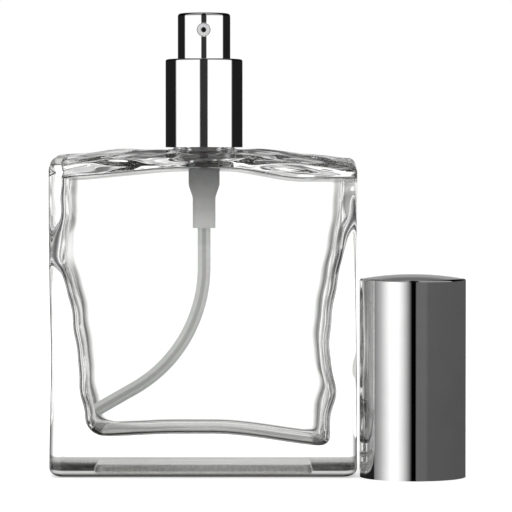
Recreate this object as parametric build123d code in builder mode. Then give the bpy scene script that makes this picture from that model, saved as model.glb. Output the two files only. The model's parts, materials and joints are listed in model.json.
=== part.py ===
"""Glass spray bottle for aftershave, with a screw-on fine-mist pump and a push-on cap beside it.

Frame: millimetres, +Z up, origin on the table under the neck axis. -Y is the front, which the
nozzle faces. The bottle stands with its pump screwed down. The cap is off, to the right and a
little forward.
"""

import os
from math import cos, hypot, radians, sin

from build123d import *

# Glass body
BODY_WIDTH = 70.0
BODY_DEPTH = 35.0
SHOULDER_TOP = 74.5
SHOULDER_DROP = 1.9
BODY_CORNER_R = 3.0
FOOT_EDGE_R = 3.0
SHOULDER_EDGE_R = 2.0
FLOOR_Z = 10.0
CEILING_Z = 70.2
CAVITY_WIDTH_TOP = 63.4
CAVITY_WIDTH_FLOOR = 55.0
CAVITY_DEPTH_TOP = 29.0
CAVITY_DEPTH_FLOOR = 27.6
CAVITY_CORNER_R = 3.0
CAVITY_EDGE_R = 2.0
PUSH_UP_WIDTH = 51.4
PUSH_UP_DEPTH = 22.0
PUSH_UP_HEIGHT = 2.5
PUSH_UP_TAPER = 20

# Neck finish: outside thread for a 15 mm closure
NECK_HEIGHT = 13.6
NECK_R = 6.55
NECK_BORE_R = 4.1
NECK_LIP_R = 0.5
THREAD_CREST_R = 7.3
THREAD_PITCH = 2.117
THREAD_TURNS = 1.5
THREAD_ROOT_WIDTH = 1.0
THREAD_CREST_WIDTH = 0.5
THREAD_BITE = 0.2
NECK_THREAD_START = 3.6
THREAD_DROP = 0.78

# Screw closure and its metal collar
COLLAR_R = 8.95
COLLAR_WALL = 0.45
COLLAR_TOP = 95.2
COLLAR_GAP = 0.4
COLLAR_MOUTH_R = 6.4
COLLAR_EDGE_R = 0.42
CLOSURE_ROOT_R = 7.6
CLOSURE_CREST_R = 6.8
PLATE_THICK = 1.0
PLATE_HOLE_R = 4.8
WELL_R = 6.55
CLOSURE_RECESS = 0.3

# Fits
SEAT_GAP = 0.02
RUNNING_GAP = 0.05

# Pump
GASKET_THICK = 0.8
FLANGE_THICK = 0.9
FLANGE_R = 6.2
HOUSING_R = 3.6
HOUSING_TAIL_R = 2.65
CHAMBER_R = 2.7
STROKE = 4.0
STEM_R = 1.25
STEM_BORE_R = 0.6
BALL_R = 1.2
BALL_LIFT = 0.8
TUBE_R = 1.5
TUBE_BORE_R = 0.95
VENT_R = 0.3
PORT_R = 0.35

# Spray button
BUTTON_R = 6.1
BUTTON_TOP = 105.8
BUTTON_WALL = 0.4
BUTTON_EDGE_R = 0.7
CORE_WALL = 0.9
POST_R = 2.5
NOZZLE_Z = 101.8
NOZZLE_R = 1.4
NOZZLE_HOLE_R = 1.6
INSERT_DEPTH = 2.6
INSERT_PROUD = 0.05
INSERT_EDGE_R = 0.2
INSERT_WEB = 0.4
DISH_R = 0.6
DISH_DEPTH = 0.7
ORIFICE_R = 0.2
CUP_R = 1.1

# Cap
CAP_R = 12.1
CAP_HEIGHT = 46.1
CAP_CROWN = 1.1
CAP_WALL = 0.5
CAP_EDGE_R = 0.5
CAP_X = 47.6
CAP_Y = -14.0
CAP_BORE_R = 9.0
SLEEVE_WALL = 0.9
LINER_FOOT = 0.35
BUTTON_ROOM_R = 7.0
BUTTON_ROOM_TOP = 33.5
LINER_FLOOR_THICK = 1.2
CAP_RIBS = 12
RIB_THICK = 0.8
RIB_CLEAR = 0.2

# Stack of parts on top of the neck
NECK_TOP = SHOULDER_TOP + NECK_HEIGHT
GASKET_TOP = NECK_TOP + GASKET_THICK
FLANGE_TOP = GASKET_TOP + FLANGE_THICK
PLATE_TOP = FLANGE_TOP + PLATE_THICK
COLLAR_FOOT = SHOULDER_TOP + COLLAR_GAP

# Levels inside the pump, from the bottom up
HOUSING_END = 56.2
SOCKET_TOP = 62.6
BELL_LOW_Z = 63.4
SEAT_Z = 64.0
SEAT_MOUTH_Z = 65.0
BELL_HIGH_Z = 66.2
CHAMBER_FLOOR = 67.5
PIN_NUB_LOW = 73.9
PIN_HEAD_LOW = 74.8
STEM_END = 76.0
PIN_SHANK_TOP = 77.0
PORT_Z = 77.7
PISTON_TOP = 79.6
VENT_Z = 81.5
SHOULDER_STOP = 82.7
SEAL_TOP = 83.5
STEM_TOP = 100.0

# Radii inside the pump
INLET_R = 0.6
SEAT_MOUTH_R = 1.38
BALL_STOP_R = 1.12
BELL_BEND_R = 2.5
STEM_SHOULDER_R = 2.0
STEM_SHOULDER_THICK = 0.8
PIN_SHANK_R = 0.8
PIN_NUB_R = 1.2
PIN_HEAD_R = 2.05
PIN_HEAD_CHAMFER = 0.2
PISTON_WAIST_R = 2.3
PISTON_RELIEF_R = 1.65
PISTON_RELIEF_TOP = 78.6
PISTON_LIP = 0.7
GUIDE_COLLAR_R = 2.0
GUIDE_COLLAR_RISE = 0.4

# Springs: mean radius, wire radius and number of coils
RETURN_SPRING = (1.9, 0.22, 5.5)
PISTON_SPRING = (1.62, 0.16, 3.0)

# Dip tube: straight down, a bend to the lower left, then straight to the corner of the cavity
BEND_TOP_Z = 47.0
BEND_R = 32.0
BEND_ANGLE = 60.0
TUBE_TAIL = 10.5


def tidy(builder, name):
    """Names a finished piece and writes it as parts/NAME.step."""
    builder.part.label = name
    export_step(builder.part, f"parts/{name}.step")


def ring_profile(inner, outer, low, high, mode=Mode.ADD):
    """A rectangle from radius inner to outer and height low to high, for revolving."""
    with Locations(((inner + outer) / 2, (low + high) / 2)):
        Rectangle(outer - inner, high - low, mode=mode)


def thread_ridge(tip_r, root_r, low_z, turns):
    """A screw ridge round Z from low_z, narrow at tip_r, wide at root_r and sunk past it."""
    sink = THREAD_BITE if root_r > tip_r else -THREAD_BITE
    with BuildLine(mode=Mode.PRIVATE):
        path = Helix(THREAD_PITCH, THREAD_PITCH * turns, root_r, center=(0, 0, low_z))
    start = Plane(origin=path @ 0, x_dir=(1, 0, 0), z_dir=path % 0)
    with BuildSketch(start, mode=Mode.PRIVATE) as ridge:
        with BuildLine():
            Polyline(
                (sink, -THREAD_ROOT_WIDTH / 2),
                (tip_r - root_r, -THREAD_CREST_WIDTH / 2),
                (tip_r - root_r, THREAD_CREST_WIDTH / 2),
                (sink, THREAD_ROOT_WIDTH / 2),
                close=True,
            )
        make_face()
    sweep(ridge.sketch, path=path, is_frenet=True)


def coil_spring(spring, low_z, high_z):
    """A round-wire spring standing on low_z, with its top at high_z."""
    mean_r, wire_r, coils = spring
    rise = high_z - low_z - 2 * wire_r
    with BuildLine(mode=Mode.PRIVATE):
        path = Helix(rise / coils, rise, mean_r, center=(0, 0, low_z + wire_r))
    with BuildSketch(Plane(origin=path @ 0, z_dir=path % 0), mode=Mode.PRIVATE) as wire:
        Circle(wire_r)
    sweep(wire.sketch, path=path, is_frenet=True)


os.makedirs("parts", exist_ok=True)


# ---------------------------------------------------------------- glass bottle
with BuildPart() as glass_bottle:
    # Body: a block whose top is a shallow arch, rounded on every edge
    with BuildSketch(Plane.XZ):
        with BuildLine():
            left_top = (-BODY_WIDTH / 2, SHOULDER_TOP - SHOULDER_DROP)
            right_top = (BODY_WIDTH / 2, SHOULDER_TOP - SHOULDER_DROP)
            Polyline(left_top, (-BODY_WIDTH / 2, 0), (BODY_WIDTH / 2, 0), right_top)
            ThreePointArc(left_top, (0, SHOULDER_TOP), right_top)
        make_face()
    extrude(amount=BODY_DEPTH / 2, both=True)
    fillet(glass_bottle.edges().filter_by(Axis.Z), BODY_CORNER_R)
    fillet(glass_bottle.faces().sort_by(Axis.Z)[0].edges(), FOOT_EDGE_R)
    fillet(glass_bottle.faces().sort_by(Axis.Z)[-1].edges(), SHOULDER_EDGE_R)

    # Neck
    with BuildSketch(Plane.XY.offset(SHOULDER_TOP - 2)):
        Circle(NECK_R)
    extrude(amount=NECK_HEIGHT + 2)
    fillet(glass_bottle.faces().sort_by(Axis.Z)[-1].edges(), NECK_LIP_R)
    thread_ridge(THREAD_CREST_R, NECK_R, SHOULDER_TOP + NECK_THREAD_START, THREAD_TURNS)

    # Cavity: wider at the ceiling than at the floor, with rounded edges
    with BuildPart(mode=Mode.PRIVATE) as cavity:
        with BuildSketch(Plane.XY.offset(FLOOR_Z)):
            RectangleRounded(CAVITY_WIDTH_FLOOR, CAVITY_DEPTH_FLOOR, CAVITY_CORNER_R)
        with BuildSketch(Plane.XY.offset(CEILING_Z)):
            RectangleRounded(CAVITY_WIDTH_TOP, CAVITY_DEPTH_TOP, CAVITY_CORNER_R)
        loft()
        fillet(cavity.faces().sort_by(Axis.Z)[0].edges(), CAVITY_EDGE_R)
        fillet(cavity.faces().sort_by(Axis.Z)[-1].edges(), CAVITY_EDGE_R)
    add(cavity.part, mode=Mode.SUBTRACT)

    # Bore through the neck, and the shallow push-up under the foot
    with BuildSketch(Plane.XY.offset(CEILING_Z - 1)):
        Circle(NECK_BORE_R)
    extrude(amount=NECK_TOP - CEILING_Z + 2, mode=Mode.SUBTRACT)
    with BuildSketch(Plane.XY):
        RectangleRounded(PUSH_UP_WIDTH, PUSH_UP_DEPTH, BODY_CORNER_R)
    extrude(amount=PUSH_UP_HEIGHT, taper=PUSH_UP_TAPER, mode=Mode.SUBTRACT)

tidy(glass_bottle, "glass_bottle")


# ---------------------------------------------------------------- closure, collar and gasket
CLOSURE_R = COLLAR_R - COLLAR_WALL - SEAT_GAP
CLOSURE_LIP_Z = COLLAR_TOP - COLLAR_WALL - SEAT_GAP
CLOSURE_FOOT = COLLAR_FOOT + CLOSURE_RECESS

with BuildPart() as screw_closure:
    with BuildSketch(Plane.XZ):
        ring_profile(CLOSURE_ROOT_R, CLOSURE_R, CLOSURE_FOOT, PLATE_TOP)
        ring_profile(PLATE_HOLE_R, CLOSURE_R, FLANGE_TOP, PLATE_TOP)
        ring_profile(WELL_R, CLOSURE_R, PLATE_TOP, CLOSURE_LIP_Z)
    revolve(axis=Axis.Z)
    # The closure's ridge lies just under the neck's, so that turning it pulls the closure down
    ridge_start = SHOULDER_TOP + NECK_THREAD_START - THREAD_DROP
    thread_ridge(CLOSURE_CREST_R, CLOSURE_ROOT_R, ridge_start, THREAD_TURNS)
tidy(screw_closure, "screw_closure")

with BuildPart() as collar_shell:
    with BuildSketch(Plane.XZ):
        ring_profile(COLLAR_R - COLLAR_WALL, COLLAR_R, COLLAR_FOOT, COLLAR_TOP)
        ring_profile(COLLAR_MOUTH_R, COLLAR_R, COLLAR_TOP - COLLAR_WALL, COLLAR_TOP)
    revolve(axis=Axis.Z)
    top_edges = collar_shell.edges().filter_by(GeomType.CIRCLE).group_by(Axis.Z)[-1]
    fillet(top_edges.sort_by(SortBy.RADIUS)[-1], COLLAR_EDGE_R)
    fillet(top_edges.sort_by(SortBy.RADIUS)[0], COLLAR_WALL / 3)
tidy(collar_shell, "collar_shell")

with BuildPart() as neck_gasket:
    with BuildSketch(Plane.XY.offset(NECK_TOP)):
        Circle(FLANGE_R)
        Circle(HOUSING_R + RUNNING_GAP, mode=Mode.SUBTRACT)
    extrude(amount=GASKET_THICK)
tidy(neck_gasket, "neck_gasket")


# ---------------------------------------------------------------- pump
# The ball rests where the cone is tangent to it, and a lip above it stops its lift
CONE_SLOPE = (SEAT_MOUTH_R - INLET_R) / (SEAT_MOUTH_Z - SEAT_Z)
BALL_Z = SEAT_Z + (BALL_R * hypot(1, CONE_SLOPE) - INLET_R) / CONE_SLOPE + SEAT_GAP
BALL_STOP_Z = BALL_Z + BALL_LIFT + (BALL_R**2 - BALL_STOP_R**2) ** 0.5
SOCKET_R = TUBE_R + SEAT_GAP / 2

with BuildPart() as pump_housing:
    # Outside: flange, straight barrel, a bell that narrows to the tail, and the tube's tail
    with BuildSketch(Plane.XZ):
        with BuildLine():
            Polyline(
                (0, HOUSING_END),
                (HOUSING_TAIL_R, HOUSING_END),
                (HOUSING_TAIL_R, BELL_LOW_Z),
                (HOUSING_R, BELL_HIGH_Z),
                (HOUSING_R, GASKET_TOP),
                (FLANGE_R, GASKET_TOP),
                (FLANGE_R, FLANGE_TOP),
                (0, FLANGE_TOP),
                close=True,
            )
        make_face()
    revolve(axis=Axis.Z)
    bell_edge = pump_housing.edges().filter_by(GeomType.CIRCLE).filter_by_position(
        Axis.Z, BELL_HIGH_Z - 0.1, BELL_HIGH_Z + 0.1
    )
    fillet(bell_edge, BELL_BEND_R)
    # Inside: tube socket, inlet, ball seat, the lip that keeps the ball in, and the chamber
    with BuildSketch(Plane.XZ):
        with BuildLine():
            Polyline(
                (0, HOUSING_END),
                (SOCKET_R, HOUSING_END),
                (SOCKET_R, SOCKET_TOP),
                (INLET_R, SOCKET_TOP),
                (INLET_R, SEAT_Z),
                (SEAT_MOUTH_R, SEAT_MOUTH_Z),
                (SEAT_MOUTH_R, BALL_STOP_Z),
                (BALL_STOP_R, BALL_STOP_Z),
                (BALL_STOP_R, CHAMBER_FLOOR),
                (CHAMBER_R, CHAMBER_FLOOR),
                (CHAMBER_R, FLANGE_TOP),
                (0, FLANGE_TOP),
                close=True,
            )
        make_face()
    revolve(axis=Axis.Z, mode=Mode.SUBTRACT)
    # Side hole that lets air into the bottle as liquid leaves it
    with BuildSketch(Plane.YZ.offset(HOUSING_R)):
        with Locations((0, VENT_Z)):
            Circle(VENT_R)
    extrude(amount=-2 * (HOUSING_R - CHAMBER_R), mode=Mode.SUBTRACT)
tidy(pump_housing, "pump_housing")

with BuildPart() as stem_guide:
    with BuildSketch(Plane.XZ):
        ring_profile(STEM_R + RUNNING_GAP, CHAMBER_R - SEAT_GAP, SEAL_TOP, FLANGE_TOP)
        ring_profile(STEM_R + RUNNING_GAP, PLATE_HOLE_R - 0.1, FLANGE_TOP, PLATE_TOP)
        ring_profile(STEM_R + RUNNING_GAP, GUIDE_COLLAR_R, PLATE_TOP, PLATE_TOP + GUIDE_COLLAR_RISE)
    revolve(axis=Axis.Z)
tidy(stem_guide, "stem_guide")

with BuildPart() as stem_seal:
    with BuildSketch(Plane.XZ):
        ring_profile(STEM_R + RUNNING_GAP, CHAMBER_R - SEAT_GAP, SHOULDER_STOP, SEAL_TOP)
    revolve(axis=Axis.Z)
tidy(stem_seal, "stem_seal")

STEM_SHOULDER_LOW = SHOULDER_STOP - STEM_SHOULDER_THICK

with BuildPart() as pump_stem:
    with BuildSketch(Plane.XZ):
        ring_profile(STEM_BORE_R, STEM_R, PIN_SHANK_TOP, STEM_TOP)
        ring_profile(PIN_SHANK_R, STEM_R, STEM_END, PIN_SHANK_TOP)
        ring_profile(STEM_BORE_R, STEM_SHOULDER_R, STEM_SHOULDER_LOW, SHOULDER_STOP)
    revolve(axis=Axis.Z)
    # Cross hole that the liquid enters by
    with BuildSketch(Plane.YZ):
        with Locations((0, PORT_Z)):
            Circle(PORT_R)
    extrude(amount=STEM_R + 1, both=True, mode=Mode.SUBTRACT)
tidy(pump_stem, "pump_stem")

with BuildPart() as valve_pin:
    with BuildSketch(Plane.XZ):
        with BuildLine():
            Polyline(
                (0, PIN_NUB_LOW),
                (PIN_NUB_R, PIN_NUB_LOW),
                (PIN_NUB_R, PIN_HEAD_LOW),
                (PIN_HEAD_R, PIN_HEAD_LOW),
                (PIN_HEAD_R, STEM_END - PIN_HEAD_CHAMFER),
                (PIN_HEAD_R - PIN_HEAD_CHAMFER, STEM_END),
                (PIN_SHANK_R, STEM_END),
                (PIN_SHANK_R, PIN_SHANK_TOP),
                (0, PIN_SHANK_TOP),
                close=True,
            )
        make_face()
    revolve(axis=Axis.Z)
tidy(valve_pin, "valve_pin")

PISTON_R = CHAMBER_R - SEAT_GAP
PISTON_SEAT_Z = STEM_END + SEAT_GAP

with BuildPart() as pump_piston:
    with BuildSketch(Plane.XZ):
        ring_profile(STEM_R + RUNNING_GAP, PISTON_WAIST_R, PISTON_SEAT_Z, PISTON_TOP)
        ring_profile(PISTON_WAIST_R, PISTON_R, PISTON_SEAT_Z, PISTON_SEAT_Z + PISTON_LIP)
        ring_profile(PISTON_WAIST_R, PISTON_R, PISTON_TOP - PISTON_LIP, PISTON_TOP)
        # The relief inside the lower lip lets liquid reach the stem's cross hole
        ring_profile(STEM_R, PISTON_RELIEF_R, PISTON_SEAT_Z, PISTON_RELIEF_TOP, Mode.SUBTRACT)
    revolve(axis=Axis.Z)
tidy(pump_piston, "pump_piston")


with BuildPart() as return_spring:
    coil_spring(RETURN_SPRING, CHAMBER_FLOOR + SEAT_GAP, PIN_HEAD_LOW - SEAT_GAP)
tidy(return_spring, "return_spring")

with BuildPart() as piston_spring:
    coil_spring(PISTON_SPRING, PISTON_TOP + SEAT_GAP, STEM_SHOULDER_LOW - SEAT_GAP)
tidy(piston_spring, "piston_spring")

with BuildPart() as inlet_ball:
    with Locations((0, 0, BALL_Z)):
        Sphere(BALL_R)
tidy(inlet_ball, "inlet_ball")

with BuildPart() as dip_tube:
    with BuildLine() as tube_path:
        Line((0, 0, SOCKET_TOP - RUNNING_GAP), (0, 0, BEND_TOP_Z))
        bend_x = BEND_R * (1 - cos(radians(BEND_ANGLE)))
        bend_z = BEND_R * sin(radians(BEND_ANGLE))
        half_x = BEND_R * (1 - cos(radians(BEND_ANGLE / 2)))
        half_z = BEND_R * sin(radians(BEND_ANGLE / 2))
        tube_bend = ThreePointArc(
            (0, 0, BEND_TOP_Z), (-half_x, 0, BEND_TOP_Z - half_z), (-bend_x, 0, BEND_TOP_Z - bend_z)
        )
        Line(tube_bend @ 1, tube_bend @ 1 + tube_bend % 1 * TUBE_TAIL)
    with BuildSketch(Plane(origin=tube_path.line @ 0, z_dir=tube_path.line % 0)):
        Circle(TUBE_R)
        Circle(TUBE_BORE_R, mode=Mode.SUBTRACT)
    sweep(path=tube_path.line)
tidy(dip_tube, "dip_tube")


# ---------------------------------------------------------------- spray button
BUTTON_FOOT = COLLAR_TOP - 0.3
CORE_R = BUTTON_R - BUTTON_WALL - SEAT_GAP
CORE_FOOT = BUTTON_FOOT + 0.2
CORE_TOP = BUTTON_TOP - BUTTON_WALL - SEAT_GAP
CORE_CHAMFER = 0.35
WEB_FOOT = CORE_FOOT + 0.3

with BuildPart() as actuator_shell:
    with BuildSketch(Plane.XZ):
        ring_profile(BUTTON_R - BUTTON_WALL, BUTTON_R, BUTTON_FOOT, BUTTON_TOP)
        ring_profile(0, BUTTON_R, BUTTON_TOP - BUTTON_WALL, BUTTON_TOP)
    revolve(axis=Axis.Z)
    rim_top = actuator_shell.edges().filter_by(GeomType.CIRCLE).group_by(Axis.Z)[-1]
    fillet(rim_top.sort_by(SortBy.RADIUS)[-1], BUTTON_EDGE_R)
    with BuildSketch(Plane.XZ):
        with Locations((0, NOZZLE_Z)):
            Circle(NOZZLE_HOLE_R)
    extrude(amount=BUTTON_R + 1, mode=Mode.SUBTRACT)
tidy(actuator_shell, "actuator_shell")

with BuildPart() as actuator_core:
    with BuildSketch(Plane.XZ):
        ring_profile(CORE_R - CORE_WALL, CORE_R, CORE_FOOT, CORE_TOP)
        ring_profile(0, CORE_R, CORE_TOP - CORE_WALL, CORE_TOP)
        ring_profile(0, POST_R, WEB_FOOT, CORE_TOP)
    revolve(axis=Axis.Z)
    # Four webs tie the post to the skirt, and a boss in front carries the nozzle
    with BuildSketch(Plane.XY.offset(WEB_FOOT)):
        Rectangle(2 * CORE_R - CORE_WALL, CORE_WALL)
        Rectangle(CORE_WALL, 2 * CORE_R - CORE_WALL)
    extrude(until=Until.LAST)
    with BuildSketch(Plane.XZ):
        with Locations((0, NOZZLE_Z)):
            Circle(NOZZLE_R + CORE_WALL)
    extrude(amount=CORE_R - CORE_WALL)
    rim_top = actuator_core.edges().filter_by(GeomType.CIRCLE).group_by(Axis.Z)[-1]
    chamfer(rim_top.sort_by(SortBy.RADIUS)[-1], CORE_CHAMFER)
    # Stem socket from below, nozzle pocket from the front, and the passage that joins them
    with BuildSketch(Plane.XY.offset(CORE_FOOT)):
        Circle(STEM_R + SEAT_GAP)
    extrude(amount=STEM_TOP - CORE_FOOT + SEAT_GAP, mode=Mode.SUBTRACT)
    with BuildSketch(Plane.XY.offset(STEM_TOP)):
        Circle(STEM_BORE_R)
    extrude(amount=NOZZLE_Z - STEM_TOP, mode=Mode.SUBTRACT)
    with BuildSketch(Plane.XZ):
        with Locations((0, NOZZLE_Z)):
            Circle(STEM_BORE_R)
    extrude(amount=CORE_R, mode=Mode.SUBTRACT)
    with BuildSketch(Plane.XZ.offset(BUTTON_R - INSERT_DEPTH)):
        with Locations((0, NOZZLE_Z)):
            Circle(NOZZLE_R + SEAT_GAP)
    extrude(amount=INSERT_DEPTH, mode=Mode.SUBTRACT)
tidy(actuator_core, "actuator_core")

with BuildPart() as nozzle_insert:
    with BuildSketch(Plane.XZ.offset(BUTTON_R - INSERT_DEPTH + SEAT_GAP)):
        with Locations((0, NOZZLE_Z)):
            Circle(NOZZLE_R)
    extrude(amount=INSERT_DEPTH + INSERT_PROUD - SEAT_GAP)
    front_rim = nozzle_insert.faces().sort_by(Axis.Y)[0].edges()
    fillet(front_rim, INSERT_EDGE_R)
    with BuildSketch(Plane.XZ.offset(BUTTON_R - DISH_DEPTH)):
        with Locations((0, NOZZLE_Z)):
            Circle(DISH_R)
    extrude(amount=DISH_DEPTH + 1, mode=Mode.SUBTRACT)
    with BuildSketch(Plane.XZ.offset(BUTTON_R - INSERT_DEPTH)):
        with Locations((0, NOZZLE_Z)):
            Circle(CUP_R)
    extrude(amount=INSERT_DEPTH - DISH_DEPTH - INSERT_WEB, mode=Mode.SUBTRACT)
    with BuildSketch(Plane.XZ.offset(BUTTON_R - INSERT_DEPTH)):
        with Locations((0, NOZZLE_Z)):
            Circle(ORIFICE_R)
    extrude(amount=INSERT_DEPTH, mode=Mode.SUBTRACT)
tidy(nozzle_insert, "nozzle_insert")


# ---------------------------------------------------------------- cap
CAP_CENTRE = Plane((CAP_X, CAP_Y, 0), x_dir=(1, 0, 0), z_dir=(0, -1, 0))
CAP_AXIS = Axis((CAP_X, CAP_Y, 0), (0, 0, 1))
LINER_R = CAP_R - CAP_WALL - SEAT_GAP
RIB_R = LINER_R - RIB_CLEAR
CAP_RIM = CAP_HEIGHT - CAP_CROWN
LINER_TOP = CAP_RIM - CAP_WALL - SEAT_GAP
CROWN_R = (CAP_R**2 + CAP_CROWN**2) / (2 * CAP_CROWN)
SEAT_DEPTH = COLLAR_TOP - COLLAR_FOOT


def rib_ring(inner):
    """The cap's ribs in plan, from radius inner to just inside the shell."""
    with PolarLocations((inner + RIB_R) / 2, CAP_RIBS):
        Rectangle(RIB_R - inner, RIB_THICK)


with BuildPart() as cap_shell:
    with BuildSketch(CAP_CENTRE):
        # Skirt
        ring_profile(CAP_R - CAP_WALL, CAP_R, 0, CAP_RIM)
        # Shallow crown
        with BuildLine():
            crown = RadiusArc((0, CAP_HEIGHT), (CAP_R, CAP_RIM), CROWN_R)
            inside = RadiusArc((0, CAP_HEIGHT - CAP_WALL), (CAP_R, CAP_RIM - CAP_WALL), CROWN_R)
            Line(crown @ 0, inside @ 0)
            Line(crown @ 1, inside @ 1)
        make_face()
    revolve(axis=CAP_AXIS)
    rim = cap_shell.edges().filter_by_position(Axis.Z, CAP_RIM - SEAT_GAP, CAP_RIM + SEAT_GAP)
    fillet(rim, CAP_EDGE_R)
tidy(cap_shell, "cap_shell")

with BuildPart() as cap_liner:
    with BuildSketch(CAP_CENTRE):
        ring_profile(CAP_BORE_R, CAP_BORE_R + SLEEVE_WALL, LINER_FOOT, SEAT_DEPTH + SLEEVE_WALL)
        ring_profile(CAP_BORE_R, LINER_R, LINER_FOOT, LINER_FOOT + LINER_FLOOR_THICK)
        ring_profile(BUTTON_ROOM_R, CAP_BORE_R + SLEEVE_WALL, SEAT_DEPTH, SEAT_DEPTH + SLEEVE_WALL)
        ring_profile(BUTTON_ROOM_R, BUTTON_ROOM_R + SLEEVE_WALL, SEAT_DEPTH, BUTTON_ROOM_TOP)
        ring_profile(0, BUTTON_ROOM_R + SLEEVE_WALL, BUTTON_ROOM_TOP, BUTTON_ROOM_TOP + SLEEVE_WALL)
    revolve(axis=CAP_AXIS)
    # Ribs that hold the sleeve in the middle of the shell, above and below its step
    with BuildSketch(Plane((CAP_X, CAP_Y, SEAT_DEPTH + SLEEVE_WALL / 2))):
        rib_ring(BUTTON_ROOM_R + SLEEVE_WALL / 2)
    extrude(amount=LINER_TOP - SEAT_DEPTH - SLEEVE_WALL / 2)
    with BuildSketch(Plane((CAP_X, CAP_Y, LINER_FOOT + LINER_FLOOR_THICK / 2))):
        rib_ring(CAP_BORE_R + SLEEVE_WALL / 2)
    extrude(amount=SEAT_DEPTH)
tidy(cap_liner, "cap_liner")
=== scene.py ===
"""Looks for the glass spray bottle: uneven glass, bright metal, moulded plastics and a pale studio."""

import json
import math

import bmesh
import bpy
import numpy as np
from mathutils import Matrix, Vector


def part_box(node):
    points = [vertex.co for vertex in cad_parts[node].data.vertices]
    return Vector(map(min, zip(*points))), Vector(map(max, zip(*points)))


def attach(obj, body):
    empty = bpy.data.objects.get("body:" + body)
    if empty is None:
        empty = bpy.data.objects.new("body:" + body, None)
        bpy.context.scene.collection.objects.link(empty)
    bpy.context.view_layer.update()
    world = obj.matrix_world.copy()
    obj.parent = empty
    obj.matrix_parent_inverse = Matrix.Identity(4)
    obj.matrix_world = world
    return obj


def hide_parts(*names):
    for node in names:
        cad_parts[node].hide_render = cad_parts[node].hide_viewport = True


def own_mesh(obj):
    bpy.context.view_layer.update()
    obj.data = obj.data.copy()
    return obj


MM = 0.001

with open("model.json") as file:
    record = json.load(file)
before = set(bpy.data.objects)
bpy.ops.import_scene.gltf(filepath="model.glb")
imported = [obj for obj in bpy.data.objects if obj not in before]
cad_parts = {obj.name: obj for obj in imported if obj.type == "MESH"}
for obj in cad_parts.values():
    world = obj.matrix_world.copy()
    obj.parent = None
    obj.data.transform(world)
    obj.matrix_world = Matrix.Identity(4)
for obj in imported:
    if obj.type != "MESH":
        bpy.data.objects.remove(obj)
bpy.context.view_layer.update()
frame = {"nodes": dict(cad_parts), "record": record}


# ---------------------------------------------------------------- sizes, in millimetres, from the frame
def box_mm(node):
    """Lowest and highest corner of a CAD node, in millimetres."""
    low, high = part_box(node)
    return np.array(low) / MM, np.array(high) / MM


glass_low, glass_high = box_mm("glass_bottle")
HALF_W = glass_high[0]
HALF_D = glass_high[1]
NECK_TOP = glass_high[2]
NECK_HEIGHT = 13.6
SHOULDER_Z = NECK_TOP - NECK_HEIGHT
NECK_R = 6.55
BORE_R = 4.1

# Outside of the glass: corners are rounded in plan, and edges in section
CORNER_R = 3.0
EDGE_CORNER_R = 0.8
FOOT_R = 2.7
FOOT_LEAN = 0.8
WAIST_LEFT = 0.45
WAIST_RIGHT = 0.25
SHOULDER_R = 1.6
DROP_LEFT = 1.75
DROP_RIGHT = 2.45
DROP_FRONT = 2.5
TOP_RIPPLE = 0.15
NECK_ROOT_R = 1.2
LIP_R = 0.5

# Push-up under the base, and the ticks in the ring round it that the bottle stands on
PUSH_UP_W = 25.7
PUSH_UP_D = 11.0
PUSH_UP_WALL = 1.3
PUSH_UP_Z = 2.5
PUSH_UP_CROWN = 0.25
PUSH_UP_ROOF_R = 2.0
PUSH_UP_FOOT_R = 3.0
TICK_PITCH = 2.2
TICK_DEPTH = 0.12

# Thread on the neck
THREAD_RISE = 0.72
THREAD_PITCH = 2.117
THREAD_START = SHOULDER_Z + 3.6
THREAD_TURNS = 1.5
THREAD_LEAD_IN = 0.06
RIDGE_CREST = 0.22
RIDGE_FOOT = 0.55

# Inside of the glass
CEILING_Z = 70.2
CEILING_CROWN = 1.4
CEILING_RIPPLE = 0.1
CEILING_EDGE_R = 0.65
SAG_LEFT = 2.2
SAG_RIGHT = 2.3
FLOOR_Z = 10.0
FLOOR_TILT = 0.4
FLOOR_EDGE_R = 2.1
DIP_LEFT = 0.6
DIP_RIGHT = 3.0
CURL_R = 2.4
INNER_HALF_W = 30.0
INNER_TOP_D = 14.4
INNER_FLOOR_D = 13.8
INNER_CORNER_R = 2.6
MOUTH_R = 0.5
LEAN_LEFT = 0.5
LEAN_RIGHT = 1.3
WALL_WAVE = 0.1

# Side walls of the hollow: half width at the top, how much they narrow, and from which height to which
LEFT_WALL = (31.8, 5.4, 52, 12)
RIGHT_WALL = (32.6, 4.9, 68, 32)

# Bulges of those walls: depth, height of the middle, and half height
LEFT_BULGES = ((1.1, 52, 6), (-0.7, 39, 6), (0.9, 19, 5))
RIGHT_BULGES = ((1.5, 22.5, 4.5),)

# Waves of the blown glass: rates across and front to back, height, and how far the shift moves them
WAVES = ((0.21, 0.42, 1.0, 1.0), (0.33, -0.5, 0.6, 2.1), (0.61, 0.33, 0.3, 3.7))

# Points on each side and corner of a loop of the glass
LONG_POINTS = 212
SHORT_POINTS = 96
CORNER_POINTS = 18

# Painted shade on the underside of the glass, a grey stipple that is dark on the ring and paler on the
# push-up's roof:
# heights over which it ends and the roof begins, and how far inside the push-up's ends it is held back
PAINTED_SHADE_TOP = (2.9, 3.3)
ROOF_START = (0.6, 1.6)
PAINTED_SHADE_HOLD = 2.2

# Throat of the spray jet
jet_low, jet_high = box_mm("nozzle_insert")
JET_Z = (jet_low[2] + jet_high[2]) / 2
JET_R = 0.6

# Card round the cap: radius, heights of its edges, and degrees from the front where it ends each way
CARD_R = 60.0
CARD_FOOT = -50.0
CARD_TOP = 52.0
CARD_LEFT = -86
CARD_RIGHT = 150

# Lens, in metres; the focal length is a share of the distance
LENS_DISTANCE = 0.72
LENS_HEIGHT = 0.069
LENS_AIM_X = 0.012
LENS_AIM_Z = 0.04975
LENS_SHARE = 0.30375


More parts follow.
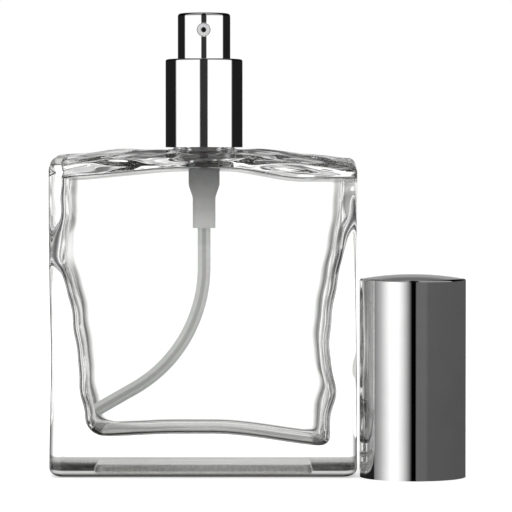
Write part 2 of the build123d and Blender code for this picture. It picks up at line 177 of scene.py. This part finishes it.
# ---------------------------------------------------------------- curves
def smooth_step(x, start, end):
    """0 before start, 1 after end, and smooth between them."""
    t = np.clip((x - start) / (end - start), 0.0, 1.0)
    return t * t * (3 - 2 * t)


def bump(x, centre, width):
    """A smooth hump of height 1 at centre."""
    return np.exp(-(((x - centre) / width) ** 2))


def rounded_rect(half_w, half_d, corner_r):
    """Points round a rounded rectangle, with the same number on each stretch whatever its size."""
    corner_r = max(0.05, min(corner_r, half_w, half_d))
    a, b = half_w - corner_r, half_d - corner_r
    points = []
    sides = (
        ((half_w, -b), (half_w, b), SHORT_POINTS, (a, b), 0),
        ((a, half_d), (-a, half_d), LONG_POINTS, (-a, b), 90),
        ((-half_w, b), (-half_w, -b), SHORT_POINTS, (-a, -b), 180),
        ((-a, -half_d), (a, -half_d), LONG_POINTS, (a, -b), 270),
    )
    for start, end, count, centre, first in sides:
        t = np.linspace(0, 1, count, endpoint=False)[:, None]
        points.append(np.array(start) * (1 - t) + np.array(end) * t)
        turn = np.radians(first + np.linspace(0, 90, CORNER_POINTS, endpoint=False))
        points.append(np.array(centre) + corner_r * np.c_[np.cos(turn), np.sin(turn)])
    return np.concatenate(points)


BODY_LOOP = rounded_rect(HALF_W, HALF_D, CORNER_R)
LOOP_ANGLE = np.arctan2(BODY_LOOP[:, 1], BODY_LOOP[:, 0])


def circle(radius):
    """A circle with one point at the polar angle of each point of the body's loop."""
    return radius * np.c_[np.cos(LOOP_ANGLE), np.sin(LOOP_ANGLE)]


def with_z(xy, z):
    """A loop in space from a plan and a height, or a height for each point."""
    return np.c_[xy, np.broadcast_to(z, len(xy))]


def ripples(xy, size, shift):
    """Long, low waves of blown glass, which die out near the neck and at the front and back edges."""
    x, y = xy[:, 0], xy[:, 1]
    waves = sum(high * np.sin(across * x + deep * y + lag * shift) for across, deep, high, lag in WAVES)
    held = smooth_step(np.hypot(x, y), 8.5, 13) * smooth_step(-np.abs(y), -15.5, -9)
    return size * waves * held


def shoulder_z(xy):
    """Height of the arched shoulder, which falls more to the right than to the left."""
    x, y = xy[:, 0], xy[:, 1] / HALF_D
    drop = np.where(x < 0, DROP_LEFT * smooth_step(-x, 14, 40), DROP_RIGHT * smooth_step(x, 10, 40))
    return SHOULDER_Z - drop - DROP_FRONT * y**2 + ripples(xy, TOP_RIPPLE, 0.4)


def outside_plan(loop, z):
    """The outer wall's slight waist: the moulded glass isn't quite straight."""
    x = loop[:, 0]
    left = WAIST_LEFT * bump(z, 26, 14)
    right = WAIST_RIGHT * bump(z, 44, 16)
    shift = np.where(x < 0, left, -right) * smooth_step(np.abs(x), 5, HALF_W)
    return np.c_[x + shift, loop[:, 1]]


def inner_wall(z, wall, bulges):
    """Half width of the hollow on one side at height z."""
    top_w, narrowing, high, low = wall
    half_w = top_w - narrowing * smooth_step(-z, -high, -low)
    return half_w + sum(depth * bump(z, middle, reach) for depth, middle, reach in bulges)


def ceiling_z(xy):
    """Height of the hollow's ceiling, arched from front to back and sagging towards both sides."""
    x = xy[:, 0]
    arch = CEILING_CROWN * (1 - (xy[:, 1] / INNER_TOP_D) ** 2)
    left = SAG_LEFT * smooth_step(-x, 4, 36)
    right = SAG_RIGHT * smooth_step(x, 5, 23)
    return CEILING_Z + arch - np.where(x < 0, left, right) + ripples(xy, CEILING_RIPPLE, 1.3)


def floor_z(xy):
    """Height of the hollow's floor, which dips to both sides and rises a little to the back."""
    x = xy[:, 0]
    tilt = FLOOR_TILT * xy[:, 1] / INNER_FLOOR_D
    return FLOOR_Z - DIP_RIGHT * smooth_step(x, 2, 32) - DIP_LEFT * smooth_step(-x, 6, 24) + tilt


def left_end(xy):
    """1 at the left end of the hollow, where its floor curls up into the wall, and 0 away from it."""
    return smooth_step(-xy[:, 0], 11, 27)


def foot_r(xy):
    """Radius of the foot's rounded edge, smaller at the front than at the back."""
    return FOOT_R + FOOT_LEAN * xy[:, 1] / HALF_D


def inside_plan(inset, z):
    """The hollow's plan at height z, inset for the rounding of its edges."""
    share = (z - FLOOR_Z) / (CEILING_Z - FLOOR_Z)
    depth = INNER_FLOOR_D + (INNER_TOP_D - INNER_FLOOR_D) * share + WALL_WAVE * math.sin(z / 7.0)
    loop = rounded_rect(INNER_HALF_W - inset, depth - inset, INNER_CORNER_R - 0.2 * inset)
    x, y = loop[:, 0], loop[:, 1]
    lean = np.where(x < 0, LEAN_LEFT, -LEAN_RIGHT) * y / depth + WALL_WAVE * np.sin(0.8 * z + 0.25 * y)
    left = x + (INNER_HALF_W - inner_wall(z, LEFT_WALL, LEFT_BULGES))
    right = x + (inner_wall(z, RIGHT_WALL, RIGHT_BULGES) - INNER_HALF_W)
    sized = np.where(x < 0, left, right) + lean
    held = smooth_step(np.abs(x), 0, 20)
    return np.c_[x * (1 - held) + sized * held, y]


def thread_rise(z):
    """How far the thread ridge stands out of the neck at height z, for each point of a loop."""
    angle = np.mod(LOOP_ANGLE, 2 * math.pi)
    rise = np.zeros_like(angle)
    for lap in range(math.ceil(THREAD_TURNS)):
        turn = angle / (2 * math.pi) + lap
        away = np.abs(z - (THREAD_START + THREAD_PITCH * turn))
        start = smooth_step(turn, 0, THREAD_LEAD_IN)
        end = 1 - smooth_step(turn, THREAD_TURNS - THREAD_LEAD_IN, THREAD_TURNS)
        rise = np.maximum(rise, start * end * (1 - smooth_step(away, RIDGE_CREST, RIDGE_FOOT)))
    return THREAD_RISE * rise


# ---------------------------------------------------------------- glass
def foot_loops():
    """From the middle of the push-up to the top of the foot's rounded edge."""
    loops = []
    roof_w, roof_d = PUSH_UP_W - PUSH_UP_WALL, PUSH_UP_D - PUSH_UP_WALL
    for share in np.linspace(0.02, 1, 16):
        plan = rounded_rect(roof_w, roof_d, PUSH_UP_ROOF_R) * share
        loops.append(with_z(plan, PUSH_UP_Z + PUSH_UP_CROWN * (1 - share)))
    for share in np.linspace(0, 1, 18)[1:-1]:
        out = PUSH_UP_WALL * share
        corner_r = PUSH_UP_ROOF_R + (PUSH_UP_FOOT_R - PUSH_UP_ROOF_R) * share
        plan = rounded_rect(roof_w + out, roof_d + out, corner_r)
        loops.append(with_z(plan, PUSH_UP_Z * (1 - smooth_step(share, 0, 1))))
    arc = np.linspace(0, 1, len(BODY_LOOP), endpoint=False) * 2 * math.pi
    ring_w, ring_d = HALF_W - FOOT_R, HALF_D - FOOT_R
    ticks = round(4 * (ring_w + ring_d) / TICK_PITCH)
    for share in np.linspace(0, 1, 14):
        plan = rounded_rect(
            PUSH_UP_W + (ring_w - PUSH_UP_W) * share,
            PUSH_UP_D + (ring_d - PUSH_UP_D) * share,
            PUSH_UP_FOOT_R + (EDGE_CORNER_R - PUSH_UP_FOOT_R) * share,
        )
        plan[:, 1] -= FOOT_LEAN * share
        held = math.sin(math.pi * share) ** 0.5
        z = TICK_DEPTH * held * (0.5 + 0.5 * np.sin(arc * ticks))
        loops.append(with_z(plan, z))
    for turn in np.radians(np.linspace(6, 90, 14)):
        out = FOOT_R * math.sin(turn)
        corner_r = EDGE_CORNER_R + (CORNER_R - EDGE_CORNER_R) * math.sin(turn)
        plan = rounded_rect(ring_w + out, ring_d + out, corner_r)
        plan[:, 1] -= FOOT_LEAN * (1 - math.sin(turn))
        loops.append(with_z(outside_plan(plan, 0), foot_r(plan) * (1 - math.cos(turn))))
    return loops


def body_loops():
    """The outer wall, the shoulder's rounded edge and the shoulder up to the neck."""
    loops = []
    for share in np.linspace(0, 1, 44)[1:]:
        low, top = foot_r(BODY_LOOP), shoulder_z(BODY_LOOP) - SHOULDER_R
        z = low + (top - low) * share
        loops.append(with_z(outside_plan(BODY_LOOP, z), z))
    for turn in np.radians(np.linspace(6, 90, 14)):
        inset = SHOULDER_R * (1 - math.cos(turn))
        plan = rounded_rect(HALF_W - inset, HALF_D - inset, max(EDGE_CORNER_R, CORNER_R - inset))
        loops.append(with_z(plan, shoulder_z(plan) - SHOULDER_R * (1 - math.sin(turn))))
    rim = rounded_rect(HALF_W - SHOULDER_R, HALF_D - SHOULDER_R, EDGE_CORNER_R)
    root = circle(NECK_R + NECK_ROOT_R)
    for share in np.linspace(0, 1, 26)[1:]:
        plan = rim * (1 - share) + root * share
        loops.append(with_z(plan, shoulder_z(plan)))
    return loops


def neck_loops():
    """Neck root, neck with its thread, lip, and the bore down to the ceiling of the hollow."""
    loops = []
    for turn in np.radians(np.linspace(15, 90, 6)):
        plan = circle(NECK_R + NECK_ROOT_R * (1 - math.sin(turn)))
        loops.append(with_z(plan, shoulder_z(plan) + NECK_ROOT_R * (1 - math.cos(turn))))
    start = SHOULDER_Z + NECK_ROOT_R + 0.4
    for z in np.arange(start, NECK_TOP - LIP_R, 0.12):
        plan = circle(1.0) * (NECK_R + thread_rise(z))[:, None]
        loops.append(with_z(plan, z))
    for turn in np.radians(np.linspace(0, 90, 6)):
        plan = circle(NECK_R - LIP_R * (1 - math.cos(turn)))
        loops.append(with_z(plan, NECK_TOP - LIP_R * (1 - math.sin(turn))))
    for turn in np.radians(np.linspace(0, 90, 6)):
        plan = circle(BORE_R + LIP_R * (1 - math.sin(turn)))
        loops.append(with_z(plan, NECK_TOP - LIP_R * (1 - math.cos(turn))))
    for z in np.linspace(NECK_TOP - 1, CEILING_Z + CEILING_CROWN + MOUTH_R, 14):
        loops.append(with_z(circle(BORE_R), z))
    return loops


def hollow_loops():
    """The hollow: ceiling, its rounded edge, the walls, the floor's rounded edge and the floor."""
    loops = []
    for turn in np.radians(np.linspace(15, 90, 6)):
        plan = circle(BORE_R + MOUTH_R * (1 - math.cos(turn)))
        loops.append(with_z(plan, ceiling_z(plan) + MOUTH_R * (1 - math.sin(turn))))
    mouth = circle(BORE_R + MOUTH_R)
    rim = inside_plan(CEILING_EDGE_R, CEILING_Z)
    for share in np.linspace(0, 1, 22)[1:]:
        plan = mouth * (1 - share) + rim * share
        loops.append(with_z(plan, ceiling_z(plan)))
    for turn in np.radians(np.linspace(80, 0, 12)):
        inset, fall = CEILING_EDGE_R * (1 - math.cos(turn)), CEILING_EDGE_R * (1 - math.sin(turn))
        plan = inside_plan(inset, CEILING_Z - fall)
        loops.append(with_z(plan, ceiling_z(plan) - fall))
    for share in np.linspace(0, 1, 50)[1:-1]:
        mean = (CEILING_Z - CEILING_EDGE_R) * (1 - share) + (FLOOR_Z + FLOOR_EDGE_R) * share
        plan = inside_plan(0, mean)
        top = ceiling_z(plan) - CEILING_EDGE_R
        low = floor_z(plan) + FLOOR_EDGE_R + CURL_R * left_end(plan)
        loops.append(with_z(plan, top * (1 - share) + low * share))
    for turn in np.radians(np.linspace(0, 90, 18)):
        inset, rise = 1 - math.cos(turn), 1 - math.sin(turn)
        plan = inside_plan(FLOOR_EDGE_R * inset, FLOOR_Z + FLOOR_EDGE_R * rise)
        curl = CURL_R * left_end(plan)
        plan[:, 0] += curl * inset
        loops.append(with_z(plan, floor_z(plan) + (FLOOR_EDGE_R + curl) * rise))
    rim = plan
    for share in np.linspace(1, 0.02, 24)[1:]:
        loops.append(with_z(rim * share, floor_z(rim * share)))
    return loops


def mesh_from_loops(name, loops, material):
    """One closed skin through all the loops, with a cap on the first and the last."""
    count = len(loops[0])
    vertices = np.concatenate(loops) * MM
    mesh = bpy.data.meshes.new(name)
    faces = []
    for row in range(len(loops) - 1):
        low, high = row * count, (row + 1) * count
        for i in range(count):
            j = (i + 1) % count
            faces.append((low + i, low + j, high + j, high + i))
    faces.append(tuple(range(count))[::-1])
    faces.append(tuple(range((len(loops) - 1) * count, len(loops) * count)))
    mesh.from_pydata(vertices.tolist(), [], faces)
    skin = bmesh.new()
    skin.from_mesh(mesh)
    bmesh.ops.recalc_face_normals(skin, faces=skin.faces)
    skin.to_mesh(mesh)
    skin.free()
    mesh.shade_smooth()
    mesh.materials.append(material)
    piece = bpy.data.objects.new(name, mesh)
    bpy.context.scene.collection.objects.link(piece)
    return piece


# ---------------------------------------------------------------- materials
class Graph:
    """A node tree, with short ways to add and join nodes."""

    def __init__(self, tree):
        self.tree = tree

    def add(self, kind, **values):
        """A new node; values are properties, or inputs where the node has an input of that name."""
        node = self.tree.nodes.new(kind)
        for key, value in values.items():
            label = key.replace("_", " ")
            if label in node.inputs:
                node.inputs[label].default_value = value
            else:
                setattr(node, key, value)
        return node

    def join(self, source, target):
        """Joins a socket to an input, or sets the input where source is a number or a colour."""
        if isinstance(source, bpy.types.NodeSocket):
            self.tree.links.new(source, target)
        else:
            target.default_value = source

    def math(self, operation, *sides):
        node = self.add("ShaderNodeMath", operation=operation)
        for side, value in enumerate(sides):
            self.join(value, node.inputs[side])
        return node.outputs[0]

    def mix(self, factor, low, high):
        """The value low where factor is 0 and high where it is 1."""
        node = self.add("ShaderNodeMix", data_type="FLOAT")
        for side, value in zip((0, 2, 3), (factor, low, high)):
            self.join(value, node.inputs[side])
        return node.outputs[0]

    def mix_colour(self, factor, low, high):
        """The colour low where factor is 0 and high where it is 1."""
        node = self.add("ShaderNodeMix", data_type="RGBA")
        for side, value in zip((0, 6, 7), (factor, low, high)):
            self.join(value, node.inputs[side])
        return node.outputs[2]

    def ramp(self, factor, *stops):
        """A level or colour that runs through the stops, each a position from 0 to 1 and its value."""
        ramp = self.add("ShaderNodeValToRGB")
        elements = ramp.color_ramp.elements
        elements[0].position, elements[1].position = stops[0][0], stops[-1][0]
        for position, _ in stops[1:-1]:
            elements.new(position)
        for element, (_, value) in zip(elements, stops):
            rgb = value if isinstance(value, tuple) else (value, value, value)
            element.color = (*rgb, 1)
        self.join(factor, ramp.inputs["Fac"])
        return ramp.outputs["Color"]

    def split(self, vector):
        """The three parts of a vector."""
        node = self.add("ShaderNodeSeparateXYZ")
        self.join(vector, node.inputs[0])
        return node.outputs


class Finish(Graph):
    """A material with a Principled shader."""

    def __init__(self, name):
        self.material = bpy.data.materials.new(name)
        self.material.use_nodes = True
        super().__init__(self.material.node_tree)
        self.shader = self.tree.nodes["Principled BSDF"]

    def set(self, **values):
        """Sets or joins inputs of the Principled shader."""
        for key, value in values.items():
            self.join(value, self.shader.inputs[key.replace("_", " ")])

    def place(self, stretch=(1, 1, 1)):
        """Object coordinates in millimetres, stretched."""
        mapping = self.add("ShaderNodeMapping")
        mapping.inputs["Scale"].default_value = [s / MM for s in stretch]
        self.join(self.add("ShaderNodeTexCoord").outputs["Object"], mapping.inputs["Vector"])
        return mapping.outputs["Vector"]

    def noise(self, scale, stretch=(1, 1, 1), detail=3.0):
        """Noise with scale features a millimetre."""
        noise = self.add("ShaderNodeTexNoise", Scale=scale, Detail=detail)
        self.join(self.place(stretch), noise.inputs["Vector"])
        return noise.outputs["Fac"]

    def spread(self, noise, low, high):
        """Noise turned into values or colours from low to high."""
        return self.ramp(noise, (0.3, low), (0.7, high))

    def clouded(self, colour, share):
        """A colour with soft patches in it that are darker by the share."""
        darker = self.mix_colour(share, colour, (0, 0, 0, 1))
        return self.mix_colour(self.noise(0.3), darker, colour)

    def within(self, value, start, end):
        """0 where value is under start, 1 where it is over end."""
        node = self.add("ShaderNodeMapRange", interpolation_type="SMOOTHSTEP")
        for side, limit in ((0, value), (1, start), (2, end)):
            self.join(limit, node.inputs[side])
        return node.outputs[0]

    def bump(self, height, depth_mm, strength=1.0):
        """Bump from a 0 to 1 height, depth_mm deep, into the shader's normal."""
        node = self.add("ShaderNodeBump", Strength=strength, Distance=depth_mm * MM)
        self.join(height, node.inputs["Height"])
        self.join(node.outputs["Normal"], self.shader.inputs["Normal"])


def clear_glass():
    """Clear glass, with painted shade on its underside in a stippled grey that passes less light."""
    m = Finish("clear_glass")
    tint = m.spread(m.noise(0.05), (0.985, 0.99, 0.98), (1, 1, 0.995))
    across, deep, height = m.split(m.place())
    facing = m.math("ABSOLUTE", m.split(m.add("ShaderNodeTexCoord").outputs["Normal"])[2])
    end = PUSH_UP_W - PAINTED_SHADE_HOLD
    outside = m.math(
        "MAXIMUM",
        m.within(m.math("ABSOLUTE", across), end, end + 1),
        m.within(m.math("ABSOLUTE", deep), PUSH_UP_D, PUSH_UP_D + 1),
    )
    facing = m.math("ADD", facing, m.mix(outside, 0.4, 0.0))
    low = m.math("SUBTRACT", 1.0, m.within(height, *PAINTED_SHADE_TOP))
    under = m.math("MULTIPLY", low, m.within(facing, 0.15, 0.75))
    roof = m.within(height, *ROOF_START)
    # painted shade: dark grey on the ring the bottle stands on and a paler grey on the push-up's roof,
    # broken up by noise
    shade_stipple = m.mix(m.noise(1.3), m.mix(roof, 0.75, 0.3), 1.0)
    grey = m.mix_colour(roof, (0.045, 0.045, 0.042, 1), (0.6, 0.6, 0.58, 1))
    m.set(IOR=1.5, Base_Color=m.mix_colour(under, tint, grey))
    m.set(Transmission_Weight=m.math("SUBTRACT", 1.0, m.math("MULTIPLY", under, shade_stipple)))
    m.set(Roughness=m.spread(m.noise(0.4), 0.0, 0.015))
    m.bump(m.noise(0.09, detail=1.0), 0.02, 0.5)
    return m.material


def mirror_metal():
    m = Finish("mirror_metal")
    m.set(Metallic=1.0)
    m.set(Base_Color=m.spread(m.noise(0.15), (0.82, 0.82, 0.82), (0.87, 0.87, 0.865)))
    m.set(Roughness=m.spread(m.noise(2.0, (1, 1, 0.02)), 0.03, 0.07))
    m.bump(m.noise(3.0, (1, 1, 0.02)), 0.002, 0.3)
    return m.material


def plastic(name, rough, grain=4.0):
    """Plastic with a fine satin grain, which still needs its colour."""
    m = Finish(name)
    m.set(IOR=1.49, Subsurface_Weight=0.1, Subsurface_Scale=0.002)
    m.set(Roughness=m.spread(m.noise(1.5), rough - 0.06, rough + 0.06))
    m.bump(m.noise(grain), 0.006, 0.5)
    return m


def housing_plastic():
    """Natural plastic with painted shade that darkens it towards the top of the pump, under the closure.
    """
    m = plastic("natural_plastic", rough=0.35)
    height = m.split(m.place())[2]
    # painted shade, darkest at the top of the pump
    shade = m.ramp(m.within(height, 56, 70), (0, 0.9), (0.25, 0.66), (0.65, 0.48), (1, 0.28))
    m.set(Base_Color=m.clouded(shade, 0.1))
    return m.material


def tube_plastic():
    """Extruded plastic with painted shade down the middle, where the tube's bore shows through the wall.
    """
    m = plastic("tube_plastic", rough=0.3, grain=0.5)
    facing = m.add("ShaderNodeLayerWeight", Blend=0.5).outputs["Facing"]
    # painted shade: darker where the tube faces the viewer, standing in for the bore seen through the
    # wall
    bore = ((0, (0.62, 0.62, 0.6)), (0.03, (0.66, 0.66, 0.64)))
    wall = ((0.08, (0.94, 0.94, 0.92)), (1, (0.96, 0.96, 0.96)))
    m.set(Base_Color=m.clouded(m.ramp(facing, *bore, *wall), 0.06))
    return m.material


def seal_rubber():
    m = plastic("seal_rubber", rough=0.6)
    m.set(Base_Color=m.spread(m.noise(0.3), (0.8, 0.8, 0.78), (0.86, 0.86, 0.84)))
    return m.material


def jet_plastic(name, low, high, rough):
    """Moulded plastic that is in shade down the throat of the spray jet."""
    m = plastic(name, rough)
    across, _, up = m.split(m.place())
    away = m.math("POWER", m.math("SUBTRACT", up, JET_Z), 2.0)
    radius = m.math("SQRT", m.math("ADD", m.math("POWER", across, 2.0), away))
    throat = m.within(radius, JET_R - 0.1, JET_R + 0.1)
    m.set(Base_Color=m.mix_colour(throat, (0.02, 0.02, 0.02, 1), m.spread(m.noise(0.3), low, high)))
    return m.material


def spring_steel():
    m = Finish("spring_steel")
    m.set(Metallic=1.0)
    m.set(Base_Color=m.spread(m.noise(1.0), (0.5, 0.5, 0.51), (0.66, 0.66, 0.67)))
    m.set(Roughness=m.spread(m.noise(6.0), 0.2, 0.35))
    return m.material


FINISH = {
    "clear_glass": clear_glass(),
    "mirror_metal": mirror_metal(),
    "white_plastic": jet_plastic("white_plastic", (0.86, 0.86, 0.85), (0.9, 0.9, 0.89), rough=0.45),
    "natural_plastic": housing_plastic(),
    "tube_plastic": tube_plastic(),
    "insert_plastic": jet_plastic("insert_plastic", (0.55, 0.55, 0.545), (0.6, 0.6, 0.595), rough=0.4),
    "seal_rubber": seal_rubber(),
    "spring_steel": spring_steel(),
}
for part in frame["record"]["subparts"]:
    node = frame["nodes"][part["node"]]
    node.data.materials.clear()
    node.data.materials.append(FINISH[part["material_slot"]])


# ---------------------------------------------------------------- pieces
behaviour = frame["record"]["behaviour"]


def stand_in(piece, body, node):
    """Makes a piece move with a body, in place of a CAD node."""
    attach(piece, body)
    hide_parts(node)


def add_glass():
    loops = foot_loops() + body_loops() + neck_loops() + hollow_loops()
    piece = mesh_from_loops("blown_glass", loops, FINISH["clear_glass"])
    stand_in(piece, "bottle", "glass_bottle")


def add_spring(node):
    """A copy of a CAD spring that moves with its body."""
    body = next(name for name, nodes in behaviour["bodies"].items() if node in nodes)
    piece = bpy.data.objects.new(node + "_wire", frame["nodes"][node].data.copy())
    bpy.context.scene.collection.objects.link(piece)
    stand_in(piece, body, node)
    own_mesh(piece)


add_glass()
for joint in behaviour["joints"]:
    for spring in joint.get("deforming_nodes", []):
        add_spring(spring["node"])


# ---------------------------------------------------------------- studio
# Light by degrees above the horizon: off the table, beside the bottle, behind it, and as metal mirrors it
OFF_TABLE = ((-90, 0.8), (-55, 0.7), (-45, 0.15), (-32, 0.2), (-22, 1))
BESIDE = OFF_TABLE + ((22, 1), (34, 0.15), (90, 0.05))
BEHIND = (
    (-90, 0.8), (-56, 0.7), (-48, 0.15), (-38, 0.2), (-30, 0.95),
    (1.2, 1), (3.5, 0.5), (16, 0.6), (28, 0.15), (90, 0.05),
)
MIRRORED = OFF_TABLE + ((5, 1), (8, 0.45), (14, 0.45), (18, 0.2), (90, 0.35))

# Light by degrees from the camera's side round to the back: as glass passes it, and as metal mirrors it
IN_GLASS = (
    (0, 0.12), (14, 0.3), (30, 0.9), (88, 0.8), (100, 0.25),
    (118, 0.06), (138, 0.12), (152, 0.4), (165, 1), (180, 1),
)
IN_METAL = (
    (0, 0.03), (10.5, 0.03), (13, 1), (88, 1),
    (93, 0.012), (163, 0.012), (167, 0.65), (180, 0.65),
)

# Where the light beside the bottle gives way to that behind it, and where the table's own light ends
TURN_BACK = ((0, 0), (120, 0), (150, 1), (180, 1))
TABLE = ((-90, 1), (-55, 1), (-45, 0), (90, 0))

# Overall level, the even level that matt surfaces get, and the least that a card gives glass
CARD_LEVEL = 1.25
SCATTERED = 0.8
DARKEST = 0.12


def by_azimuth(stops):
    """Ramp stops from degrees away from the camera's side, 0 to 180."""
    return [(degrees / 180, level) for degrees, level in stops]


def by_elevation(stops):
    """Ramp stops from degrees above the horizon, -90 to 90."""
    return [(degrees / 180 + 0.5, level) for degrees, level in stops]


def studio_world():
    """A studio that turns with the camera: bright cards, dark gaps between them, and a pale table."""
    world = bpy.data.worlds.new("studio")
    bpy.context.scene.world = world
    world.use_nodes = True
    world.node_tree.nodes.clear()
    g = Graph(world.node_tree)

    direction = g.add("ShaderNodeTexCoord").outputs["Generated"]
    turned = g.add(
        "ShaderNodeVectorTransform", vector_type="VECTOR", convert_from="WORLD", convert_to="CAMERA"
    )
    g.join(direction, turned.inputs[0])
    right, _, ahead = g.split(turned.outputs[0])
    around = g.math("ARCTAN2", right, g.math("MULTIPLY", ahead, -1.0))
    azimuth = g.math("DIVIDE", g.math("ABSOLUTE", around), math.pi)
    up = g.split(direction)[2]
    elevation = g.math("ADD", g.math("DIVIDE", g.math("ARCSINE", up), math.pi), 0.5)

    beside = g.ramp(elevation, *by_elevation(BESIDE))
    behind = g.ramp(elevation, *by_elevation(BEHIND))
    cards = g.mix(g.ramp(azimuth, *by_azimuth(TURN_BACK)), beside, behind)
    in_glass = g.ramp(azimuth, *by_azimuth(IN_GLASS))
    table = g.ramp(elevation, *by_elevation(TABLE))
    passed = g.math("MULTIPLY", g.mix(table, in_glass, 1.0), g.math("MAXIMUM", cards, DARKEST))
    in_metal = g.ramp(azimuth, *by_azimuth(IN_METAL))
    mirrored = g.math("MULTIPLY", in_metal, g.ramp(elevation, *by_elevation(MIRRORED)))

    path = g.add("ShaderNodeLightPath")
    light = g.mix(path.outputs["Is Transmission Ray"], mirrored, passed)
    scattered = g.math("MINIMUM", path.outputs["Diffuse Depth"], 1.0)
    bright = g.math("MULTIPLY", g.mix(scattered, light, SCATTERED), CARD_LEVEL)
    background = g.add("ShaderNodeBackground", Color=(1, 1, 1, 1))
    g.join(g.mix(path.outputs["Is Camera Ray"], bright, 1.0), background.inputs["Strength"])
    output = g.add("ShaderNodeOutputWorld")
    g.join(background.outputs[0], output.inputs["Surface"])


def stage_mesh(name, points, faces, material):
    """A piece of the studio, which belongs to no body."""
    mesh = bpy.data.meshes.new(name)
    mesh.from_pydata(points, [], faces)
    mesh.materials.append(material)
    piece = bpy.data.objects.new(name, mesh)
    bpy.context.scene.collection.objects.link(piece)
    return piece


def stage_floor():
    """A wide pale floor just under the foot."""
    m = Finish("pale_floor")
    m.set(Roughness=0.9, Emission_Strength=0.45, Emission_Color=(1, 1, 1, 1))
    m.set(Base_Color=m.spread(m.noise(0.002), (0.9, 0.9, 0.895), (0.93, 0.93, 0.925)))
    side, below = 3.0, -0.0001
    corners = [(-side, -side, below), (side, -side, below), (side, side, below), (-side, side, below)]
    floor = stage_mesh("floor", corners, [(0, 1, 2, 3)], m.material)
    floor.visible_glossy = False
    floor.visible_transmission = False


def cap_card():
    """A shaded card curved round the cap's left, front and right, which only mirror rays meet."""
    cap_low, cap_high = box_mm("cap_shell")
    centre = (cap_low + cap_high) / 2
    m = Finish("cap_card")
    across, deep, up = m.split(m.add("ShaderNodeTexCoord").outputs["Object"])
    around = m.math("DIVIDE", m.math("ARCTAN2", across, m.math("MULTIPLY", deep, -1.0)), 2 * math.pi)
    left = ((-90, 0.12), (-70, 0.4), (-47, 1), (-32, 1), (-22, 0.7))
    gap = ((-5, 0), (3.3, 0))
    right = ((3.6, 0.12), (22, 0.12), (28, 0.09), (150, 0.08))
    stops = [(degrees / 360 + 0.5, tone) for degrees, tone in left + gap + right]
    tone = m.ramp(m.math("ADD", around, 0.5), *stops)
    m.set(Base_Color=(0, 0, 0, 1), Specular_IOR_Level=0.0, Emission_Color=tone)
    m.set(Emission_Strength=m.mix(m.within(up, 0.0, CARD_TOP * MM), 1.2, 1.3))
    points, faces = [], []
    for turn in np.radians(np.linspace(CARD_LEFT, CARD_RIGHT, 100)):
        x, y = CARD_R * MM * math.sin(turn), -CARD_R * MM * math.cos(turn)
        points += [(x, y, CARD_FOOT * MM), (x, y, CARD_TOP * MM)]
    for i in range(0, len(points) - 2, 2):
        faces.append((i, i + 2, i + 3, i + 1))
    card = stage_mesh("cap_card", points, faces, m.material)
    card.location = (centre[0] * MM, centre[1] * MM, 0)
    card.visible_camera = False
    card.visible_diffuse = False
    card.visible_transmission = False
    card.visible_shadow = False


def camera():
    """Lens in front, just under the shoulder's height, aimed between the bottle and the cap."""
    data = bpy.data.cameras.new("camera")
    data.sensor_width = 36
    data.lens = LENS_SHARE * LENS_DISTANCE / MM
    data.clip_end = 20
    lens = bpy.data.objects.new("camera", data)
    bpy.context.scene.collection.objects.link(lens)
    lens.location = (LENS_AIM_X, -LENS_DISTANCE, LENS_HEIGHT)
    down = math.atan((LENS_HEIGHT - LENS_AIM_Z) / LENS_DISTANCE)
    lens.rotation_euler = (math.pi / 2 - down, 0, 0)
    bpy.context.scene.camera = lens


studio_world()
stage_floor()
cap_card()
camera()
scene = bpy.context.scene
scene.view_settings.view_transform = "Standard"
scene.cycles.max_bounces = 48
scene.cycles.transmission_bounces = 32
scene.cycles.glossy_bounces = 32
